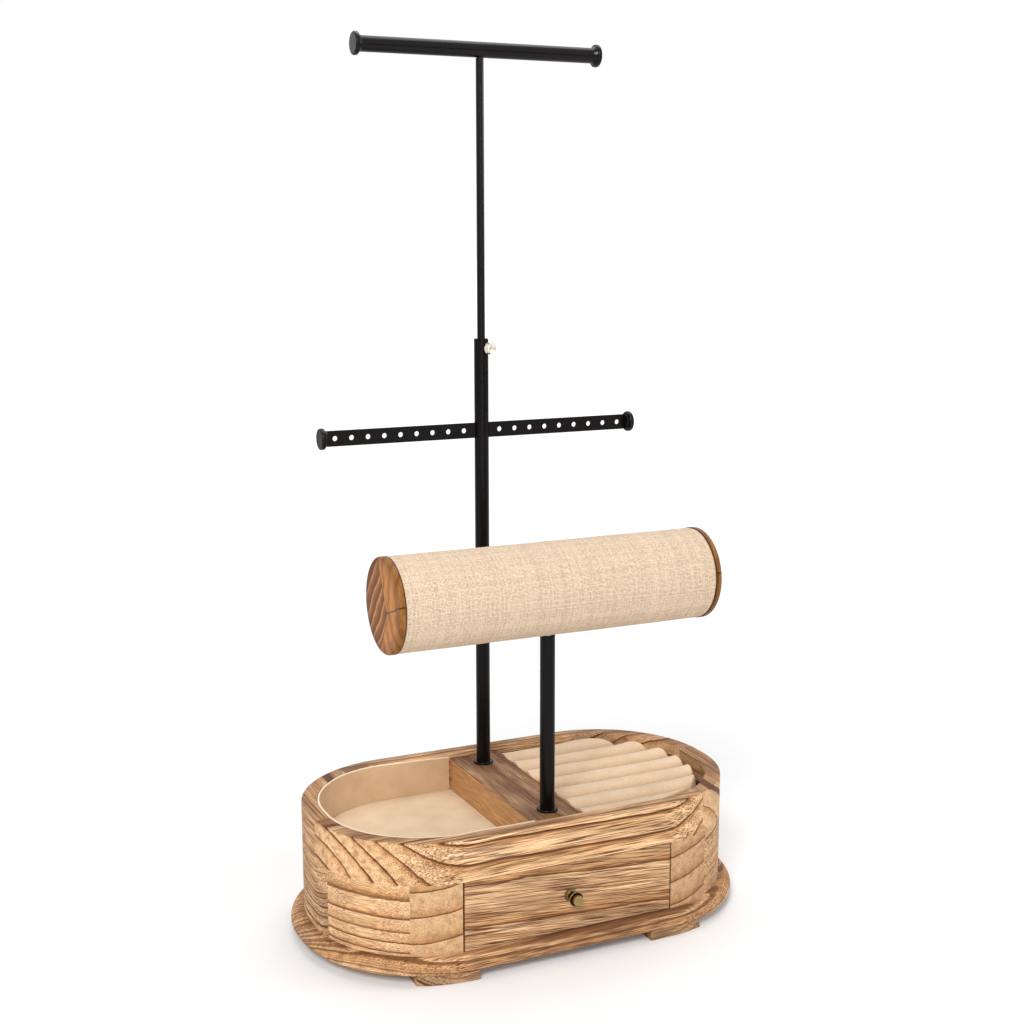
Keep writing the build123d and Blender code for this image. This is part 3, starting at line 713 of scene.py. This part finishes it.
def ring_roll(number_in_row):
    """One bar. Across, its section is a flat base, upright sides and a nearly half-round back.
    Along, it runs from the divider to its free end, where its height falls off as a quarter of
    an ellipse. Behind that end the back sinks by end_sag within a few times sag_run, and slow
    waves a quarter of a millimetre high keep it from looking machined."""
    middle = (number_in_row - (roll_count - 1) / 2) * pitch
    arc = (half_width**2 + crown**2) / (2 * crown)
    tilt = np.linspace(-1, 1, 41) * math.asin(half_width / arc)
    over = arc * np.sin(tilt) / half_width
    top = roll_high.z - arc + arc * np.cos(tilt)
    shoulder = roll_high.z - crown
    sides = np.linspace(0, 1, side_steps, endpoint=False)
    base = np.linspace(1, -1, 9)[1:-1]
    across = np.concatenate([np.full(side_steps, -1.0), over, np.full(side_steps, 1.0), base])
    height = np.concatenate([
        roll_low.z + (shoulder - roll_low.z) * sides, top,
        shoulder - (shoulder - roll_low.z) * (sides + 1 / side_steps),
        np.full(len(base), roll_low.z),
    ])
    y = middle + across * half_width
    beyond = np.minimum(np.maximum(np.abs(y) - arc_y, 0), envelope_radius - 1)
    reach = arc_x + np.sqrt(envelope_radius**2 - beyond**2) - roll_low.x
    # The rows lie closer together towards the free end.
    along = 1 - (1 - np.linspace(0, 1, 72)) ** 2.4
    x = roll_low.x + along[:, None] * reach
    left = np.minimum(reach - along[:, None] * reach, end_round)
    fall = np.sqrt(1 - (1 - left / end_round) ** 2)
    lift = (np.broadcast_to(height, x.shape) - roll_low.z) * fall
    share_up = lift / (roll_high.z - roll_low.z)
    behind_end = np.maximum(reach * (1 - along[:, None]) - end_round, 0)
    sag = end_sag * (1 - np.exp(-behind_end / sag_run))
    wave = np.sin(x / 13 + number_in_row * 1.7) + 0.6 * np.sin(x / 5.1 + y / 3 + number_in_row)
    z = roll_low.z + np.maximum(lift - (sag + 0.12 * (1 + wave / 1.6)) * share_up**3, 0)
    pull = 0.15 * np.sin(x / 9 + number_in_row * 2.3) * share_up
    return np.stack([x, np.broadcast_to(y, x.shape) + pull, z], -1)


for k in range(roll_count):
    bar = surface(f"ring_roll_{k + 1}", ring_roll(k) * MM, sharp=70)
    bar.data.materials.append(velvet)
    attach(bar, "stand")
    if k == 0:
        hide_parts("ring_pad_rolls")


# ---- Poles, flanges and bars ----
# Steel tube and strip under a thin satin black powder coat, slightly pebbled. The strip with the
# earring holes is welded to the mast, and flat discs close every free end.
def black_coat(name, roughness, shine, tint):
    """Satin powder coat: near black, with a fine pebble and slow changes in its gloss."""
    finish, shader = new_finish(name)
    place = millimetres(finish)
    darker = seen(*(0.8 * part for part in tint))
    drift = ramp(finish, noise(finish, place, 14, 2), (0.3, darker), (0.7, seen(*tint)))
    gloss = noise(finish, place, 5, 3)
    gloss = ramp(finish, gloss, (0.3, roughness * 0.9), (0.7, roughness * 1.12))
    settings(finish, shader, {"Base Color": drift, "Roughness": gloss, "Specular IOR Level": shine})
    raised(finish, shader, noise(finish, place, 0.6, 2), 0.008)
    return finish


tube_coat = black_coat("black_tube_coat", 0.26, 0.15, (10, 7, 6))
bar_coat = black_coat("black_bar_coat", 0.22, 0.2, (16, 12, 11))
finished(tube_coat, "mast_tube", "mast_flange", "thumb_screw_boss", "post_tube", "post_flange")
finished(bar_coat, "upper_rod", "necklace_bar")
for side in ("left", "right"):
    finished(bar_coat, f"earring_bar_{side}", f"earring_cap_{side}", f"necklace_cap_{side}")
nylon = metal("black_nylon", seen(40, 40, 42), seen(28, 28, 30), 0.5, metallic=0.0)
finished(nylon, "mast_bush")


# ---- Thumb screw ----
# A short brass screw with a knurled head that pinches the upper rod through the mast's wall. Its
# axis points to the front and a little to the right, and its face is slightly hollow.
screw_low, screw_high = (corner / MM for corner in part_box("thumb_screw"))
mast_low, mast_high = (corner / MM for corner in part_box("mast_tube"))
screw_turn = math.radians(20)
screw_axis = (math.sin(screw_turn), -math.cos(screw_turn), 0)
screw_centre = (0, (mast_low.y + mast_high.y) / 2, (screw_low.z + screw_high.z) / 2)
head_radius = (screw_high.z - screw_low.z) / 2
head_inner, head_outer = 7.0, 11.5
shank_radius = 1.5
ridge_count = 30
knurl_depth = 0.045


def knurl(out, angle):
    """Crossed slanting grooves in the head's rim: the radius dips where either of two families
    of lines passes, and stays plain on the shank and on the chamfers."""
    lean = (out[:, None] - head_inner) * 6.6
    lines = ridge_count * angle
    grooves = np.maximum(np.cos(lines + lean), np.cos(lines - lean))
    on_rim = (out[:, None] > head_inner + 0.5) & (out[:, None] < head_outer - 0.5)
    return 1 - knurl_depth * np.clip(grooves, 0, 1) ** 3 * on_rim


# The profile, as pairs of the distance from the mast's axis and the radius there.
shank = [(3.02, 1.2), (3.3, shank_radius), (6.4, shank_radius), (head_inner, 1.6)]
inner_edge = [(head_inner + 0.02, head_radius - 0.5), (head_inner + 0.45, head_radius - 0.05)]
rim_rows = [(d, head_radius) for d in np.linspace(head_inner + 0.55, head_outer - 0.55, 16)]
outer_edge = [(head_outer - 0.45, head_radius - 0.05), (head_outer, head_radius - 0.6)]
hollow_face = [
    (head_outer - 0.02, head_radius - 1.1), (head_outer - 0.25, head_radius - 1.4),
    (head_outer - 0.25, 0.4),
]
screw_profile = shank + inner_edge + rim_rows + outer_edge + hollow_face
screw = turned("thumb_screw_knurled", screw_profile, screw_centre, screw_axis, 180, knurl)
pale_brass = metal("pale_brass", seen(250, 246, 234), seen(230, 219, 194), 0.24, 2.0)
screw.data.materials.append(pale_brass)
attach(screw, "thumb_screw")
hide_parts("thumb_screw")


# ---- Bracelet roll ----
# A cardboard tube covered with natural linen, glued down with a lap along its underside, and
# closed by two turned caps of striped wood under clear varnish. It turns on the post's stud.
card = bare_wood("wound_card", (0, 0.5, 0.8), seen(176, 146, 108), seen(158, 128, 92))
finished(card, "roll_core")
linen_low, linen_high = (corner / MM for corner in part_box("linen_cover"))
roll_radius = (linen_high.z - linen_low.z) / 2
roll_axis = np.array([0.0, (linen_low.y + linen_high.y) / 2, (linen_low.z + linen_high.z) / 2])
linen_thickness = 1.0
lap_angle = math.radians(250)
lap_height = 0.22
# The skin lies this far inside the cover's radius, which leaves room for the lap and the waves.
lap_room = 0.28


def linen_skin(radius, out):
    """A cloth skin round the roll, as rows along X and columns round it. out is 1 for the outer
    face, which turns in at both ends, swells by lap_height over the lap and carries slow waves
    of just under a tenth of a millimetre."""
    ends = np.array([0.0, 0.25, 0.6, 1.1, 1.8])
    inside = np.linspace(3, linen_high.x - linen_low.x - 3, 90)
    far = (linen_high.x - linen_low.x) - ends[::-1]
    x = linen_low.x + np.concatenate([ends, inside, far])
    angle = np.linspace(0, 2 * math.pi, 160, endpoint=False)
    near = np.minimum(x - linen_low.x, linen_high.x - x)
    turn_in = 0.45 * np.clip(1 - near / 1.8, 0, 1) ** 2
    lap = lap_height / (1 + np.exp(-(angle - lap_angle) * 60)) * (angle < lap_angle + 0.45)
    lap = lap / (1 + np.exp((angle - lap_angle - 0.40) * 40))
    wave = 0.05 * (np.sin(x[:, None] / 19 + 2 * angle) + np.sin(x[:, None] / 7.7 - 3 * angle))
    rounds = radius - lap_room + out * (lap + wave * 0.8 - turn_in[:, None])
    ring = np.stack([np.zeros_like(angle), -np.sin(angle), np.cos(angle)], -1)
    grid = rounds[..., None] * ring + roll_axis
    grid[..., 0] = x[:, None]
    length = np.append(angle, 2 * math.pi) * radius
    uv = np.stack(np.broadcast_arrays(x[:, None], length), -1)
    return grid, uv


outer, outer_uv = linen_skin(roll_radius, 1)
inner, inner_uv = linen_skin(roll_radius - linen_thickness + lap_room, 0)
linen_grid = np.concatenate([outer, inner[::-1], outer[:1]])
linen_uv = np.concatenate([outer_uv, inner_uv[::-1], outer_uv[:1]]) * MM
linen = surface("linen_cloth", linen_grid * MM, capped=False, uv=linen_uv, sharp=60)


def weave(name, thread, pale, deep):
    """Plain weave on the cloth's own map, in threads of one width. Each cell of the grid shows
    one thread's round back: the crossing thread's where the two cell numbers add up even, and
    the other's where odd. Every thread and every crossing has its own tone, and long thin noise
    along the threads makes their slubs. Painted shade darkens each thread's back towards its
    sides, where it dips between threads."""
    finish, shader = new_finish(name)
    flat = millimetres(finish, "UV")
    drift = noise(finish, flat, 14, 2)
    parts = [part_of(finish, flat, axis) for axis in ("X", "Y")]
    places = [number(finish, "MULTIPLY_ADD", drift, 1.1, part) for part in parts]
    counts = [number(finish, "DIVIDE", value, thread) for value in places]
    waves = [number(finish, "SINE", number(finish, "MULTIPLY", value, math.pi)) for value in counts]
    backs = [number(finish, "ABSOLUTE", value) for value in waves]
    odd = number(finish, "GREATER_THAN", number(finish, "MULTIPLY", *waves), 0.0)

    def over_or_under(warp, weft):
        return number(finish, "MULTIPLY_ADD", number(finish, "SUBTRACT", weft, warp), odd, warp)

    fuller = [number(finish, "MULTIPLY_ADD", value, 0.4, 0.6) for value in backs[::-1]]
    rounds = [number(finish, "MULTIPLY", back, full) for back, full in zip(backs, fuller)]
    height = over_or_under(*rounds)
    cells = [number(finish, "FLOOR", value) for value in counts]
    tones = []
    slubs = []
    slub_width, slub_length = 0.9, 11
    short, long = 1 / slub_width, 1 / slub_length
    for cell, stretch in zip(cells, ((short, long, 0), (long, short, 0))):
        tones.append(drawn_lot(finish, cell))
        slubs.append(noise(finish, vector(finish, "MULTIPLY", flat, stretch), 1.0, 2))
    join = new_node(finish, "CombineXYZ")
    settings(finish, join, dict(zip("XY", cells)))
    crossing = new_node(finish, "TexWhiteNoise")
    crossing.noise_dimensions = "2D"
    feed(finish, join.outputs[0], crossing.inputs["Vector"])
    slub = over_or_under(*slubs)
    tone = number(finish, "MULTIPLY", over_or_under(*tones), 0.22)
    tone = number(finish, "MULTIPLY_ADD", crossing.outputs["Value"], 0.20, tone)
    tone = number(finish, "MULTIPLY_ADD", slub, 0.22, tone)
    # Painted shade: the colour darkens where a thread's round back dips between threads.
    tone = number(finish, "MULTIPLY_ADD", height, 0.70, tone)
    colour = ramp(finish, tone, (0.34, deep), (0.92, pale))
    settings(finish, shader, {
        "Base Color": colour, "Roughness": 0.9, "Specular IOR Level": 0.12, "Sheen Weight": 0.08,
    })
    raised(finish, shader, number(finish, "MULTIPLY_ADD", slub, 0.8, height), 0.2)
    return finish


linen.data.materials.append(weave("linen_weave", 0.85, seen(250, 226, 198), seen(158, 128, 100)))
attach(linen, "bracelet_roll")
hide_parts("linen_cover")


# How far apart the cap's stripes and growth lines lie, and how far below or in front of its
# middle the border's kink, the border itself and the check start.
stripe_pitch = 8.2
ring_pitch = 7.5
kink_below = 3.9
border_before = 8.6
check_below = 6.1


def striped_cap(name, side):
    """The cap's wood, with y towards the back and z up from its middle: thin tan stripes on
    brown that climb towards the front, then, in front of a kinked border, orange-brown wood with
    bent growth lines and one dark check that runs in from the edge at half height. Painted shade
    darkens it towards the rounded rim."""
    finish, shader = new_finish(name)
    place = vector(finish, "SUBTRACT", millimetres(finish), tuple(roll_axis.tolist()))
    x, y, z = (part_of(finish, place, axis) for axis in "XYZ")
    sway = number(finish, "SUBTRACT", noise(finish, place, 15, 2), 0.5)
    quiver = number(finish, "SUBTRACT", noise(finish, place, 3, 2), 0.5)

    slope = vector(finish, "DOT_PRODUCT", place, (0, 0.80 * side, 0.60))
    slope = number(finish, "MULTIPLY_ADD", sway, 5.0, slope)
    slope = number(finish, "MULTIPLY_ADD", quiver, 0.8, slope)
    stripe = number(finish, "FRACT", number(finish, "DIVIDE", slope, stripe_pitch))
    bands = ramp(
        finish, stripe, (0.0, seen(112, 62, 30)), (0.35, seen(136, 80, 40)),
        (0.62, seen(160, 98, 48)), (0.78, seen(196, 132, 70)), (0.86, seen(218, 154, 86)),
        (0.93, seen(154, 92, 44)), (1.0, seen(114, 64, 30)),
    )

    kink = number(finish, "ABSOLUTE", number(finish, "ADD", z, kink_below))
    border = number(finish, "MULTIPLY_ADD", kink, -0.55, number(finish, "ADD", y, border_before))
    border = number(finish, "MULTIPLY_ADD", sway, 4.0, border)
    border = number(finish, "MULTIPLY_ADD", quiver, 1.6, border)
    border = number(finish, "MULTIPLY", border, -0.8)
    near = ramp(finish, border, (0.0, 0.0), (0.9, 1.0))
    bent = vector(finish, "SUBTRACT", place, (-60.0, -62.0 * side, 12.0))
    bent = number(finish, "MULTIPLY_ADD", sway, 9.0, vector(finish, "LENGTH", bent))
    growth = number(finish, "FRACT", number(finish, "DIVIDE", bent, ring_pitch))
    plain = ramp(
        finish, growth, (0.0, seen(184, 118, 58)), (0.5, seen(206, 140, 72)),
        (0.85, seen(174, 108, 50)), (0.95, seen(156, 94, 42)), (1.0, seen(184, 118, 58)),
    )
    colour = blend_colours(finish, near, bands, plain)
    seam = ramp(finish, number(finish, "ABSOLUTE", border), (0.1, 0.55), (0.9, 0.0))
    colour = blend_colours(finish, seam, colour, seen(84, 50, 28))
    check = number(finish, "MULTIPLY_ADD", y, 0.37, number(finish, "ADD", z, check_below))
    check = number(finish, "ABSOLUTE", number(finish, "MULTIPLY_ADD", quiver, 3.0, check))
    check = number(finish, "MULTIPLY", ramp(finish, check, (0.15, 0.9), (0.9, 0.0)), near)
    colour = blend_colours(finish, check, colour, seen(56, 32, 18))

    inner_side = (linen_low if side > 0 else linen_high).x - roll_axis[0]
    to_cloth = number(finish, "ABSOLUTE", number(finish, "SUBTRACT", x, inner_side))
    rim_line = ramp(finish, to_cloth, (0.5, 1.0), (1.0, 0.0))
    rim_line = number(finish, "MULTIPLY", rim_line, 0.8)
    colour = blend_colours(finish, rim_line, colour, seen(60, 36, 22))
    streak = noise(finish, vector(finish, "MULTIPLY", place, (1, 1, 0.15)), 0.9, 4)
    streak = ramp(finish, streak, (0.33, 0.76), (0.67, 1.12))
    colour = blend_colours(finish, 1.0, colour, streak, "MULTIPLY")
    # Painted shade: the colour darkens towards the rounded rim, where the cap turns away from the
    # light.
    from_middle = vector(finish, "LENGTH", vector(finish, "MULTIPLY", place, (0, 1, 1)))
    painted_rim_shade = number(finish, "DIVIDE", from_middle, roll_radius)
    painted_rim_shade = ramp(finish, painted_rim_shade, (0.7, 1.0), (1.0, 0.5))
    colour = blend_colours(finish, 1.0, colour, painted_rim_shade, "MULTIPLY")
    settings(finish, shader, {
        "Base Color": colour, "Roughness": 0.4, "Specular IOR Level": 0.12,
        "Coat Weight": 0.03, "Coat Roughness": 0.2,
    })
    raised(finish, shader, streak, 0.05)
    return finish


finished(striped_cap("striped_cap_left", 1), "roll_cap_left")
finished(striped_cap("striped_cap_right", -1), "roll_cap_right")


# ---- Floor, light and camera ----
# A white floor that fades into a white background, soft light from the upper left, from above and
# from the right, a tall narrow light for the poles, and the camera where the photographer's stood,
# with the same lens.
def mapped(finish, value, low, high, to_low, to_high):
    """A number from low to high carried evenly onto to_low to to_high, and held at those ends."""
    step = new_node(finish, "MapRange")
    settings(finish, step, {"Value": value, "From Min": low, "From Max": high})
    settings(finish, step, {"To Min": to_low, "To Max": to_high})
    return step.outputs["Result"]


half = 30.0
floor_mesh = bpy.data.meshes.new("floor")
floor_mesh.from_pydata(
    [(-half, -half, 0), (half, -half, 0), (half, half, 0), (-half, half, 0)], [], [(0, 1, 2, 3)]
)
floor = placed("floor", floor_mesh)
floor.location.z = -0.0002
white_floor, floor_shader = new_finish("white_floor")
# Far from the lamps the floor would grey, so what the camera sees of it brightens with distance.
far_off = vector(white_floor, "LENGTH", millimetres(white_floor))
glow = mapped(white_floor, far_off, 300, 3000, 0.065, 0.78)
seen_by_camera = new_node(white_floor, "LightPath").outputs["Is Camera Ray"]
settings(white_floor, floor_shader, {
    "Base Color": (0.86, 0.86, 0.86, 1), "Roughness": 0.8, "Specular IOR Level": 0.0,
    "Emission Color": (1, 1, 1, 1),
    "Emission Strength": number(white_floor, "MULTIPLY", seen_by_camera, glow),
})
floor_mesh.materials.append(white_floor)

# The background is white to the camera and in reflections, and dimmer as a light.
world = bpy.data.worlds.new("studio")
bpy.context.scene.world = world
world.use_nodes = True
sky = world.node_tree.nodes["Background"]
rays = new_node(world, "LightPath").outputs
shown = number(world, "MAXIMUM", rays["Is Camera Ray"], rays["Is Transmission Ray"])
shown = number(world, "MAXIMUM", shown, rays["Is Glossy Ray"])
settings(world, sky, {"Color": (1, 1, 1, 1), "Strength": mapped(world, shown, 0, 1, 0.42, 1.0)})


def soft_box(name, place, aim, size, power, height=None):
    """A soft light at a place, turned to face the aim: square, or upright where it has a height."""
    lamp = bpy.data.lights.new(name, "AREA")
    lamp.shape = "RECTANGLE"
    lamp.size = size
    lamp.size_y = height or size
    lamp.energy = power
    made = placed(name, lamp)
    made.location = place
    heading = np.array(aim) - np.array(place)
    pan = math.atan2(heading[1], heading[0]) - math.pi / 2
    tilt = math.atan2(heading[2], math.hypot(heading[0], heading[1])) + math.pi / 2
    made.rotation_euler = (tilt, 0, pan)


soft_box("key_light", (-1.25, -1.7, 1.7), (0, 0, 0.15), 0.8, 43)
soft_box("top_light", (0.3, 0.5, 2.2), (0, 0, 0.1), 1.6, 20)
soft_box("right_light", (1.8, -0.7, 0.8), (0, 0, 0.25), 0.5, 8)
# A tall narrow light beside the camera draws a thin bright stripe down every pole.
soft_box("strip_light", (-0.28, -1.75, 0.5), (0, 0, 0.4), 0.08, 3, height=1.2)

camera_azimuth = math.radians(-25.16)
camera_elevation = math.radians(10.20)
camera_roll = math.radians(0.107)
camera_distance = 1.0318
camera_aim = np.array([-0.0021, 0.0, 0.2821])
back = np.array([
    math.sin(camera_azimuth) * math.cos(camera_elevation),
    -math.cos(camera_azimuth) * math.cos(camera_elevation),
    math.sin(camera_elevation),
])
lens = bpy.data.cameras.new("camera")
lens.lens = 53.78
lens.sensor_width = 36.0
lens.clip_start = 0.05
lens.clip_end = 50
camera = placed("camera", lens)
camera.location = camera_aim + back * camera_distance
camera.rotation_euler = (math.pi / 2 - camera_elevation, camera_roll, camera_azimuth)
bpy.context.scene.camera = camera
bpy.context.scene.view_settings.view_transform = "Standard"
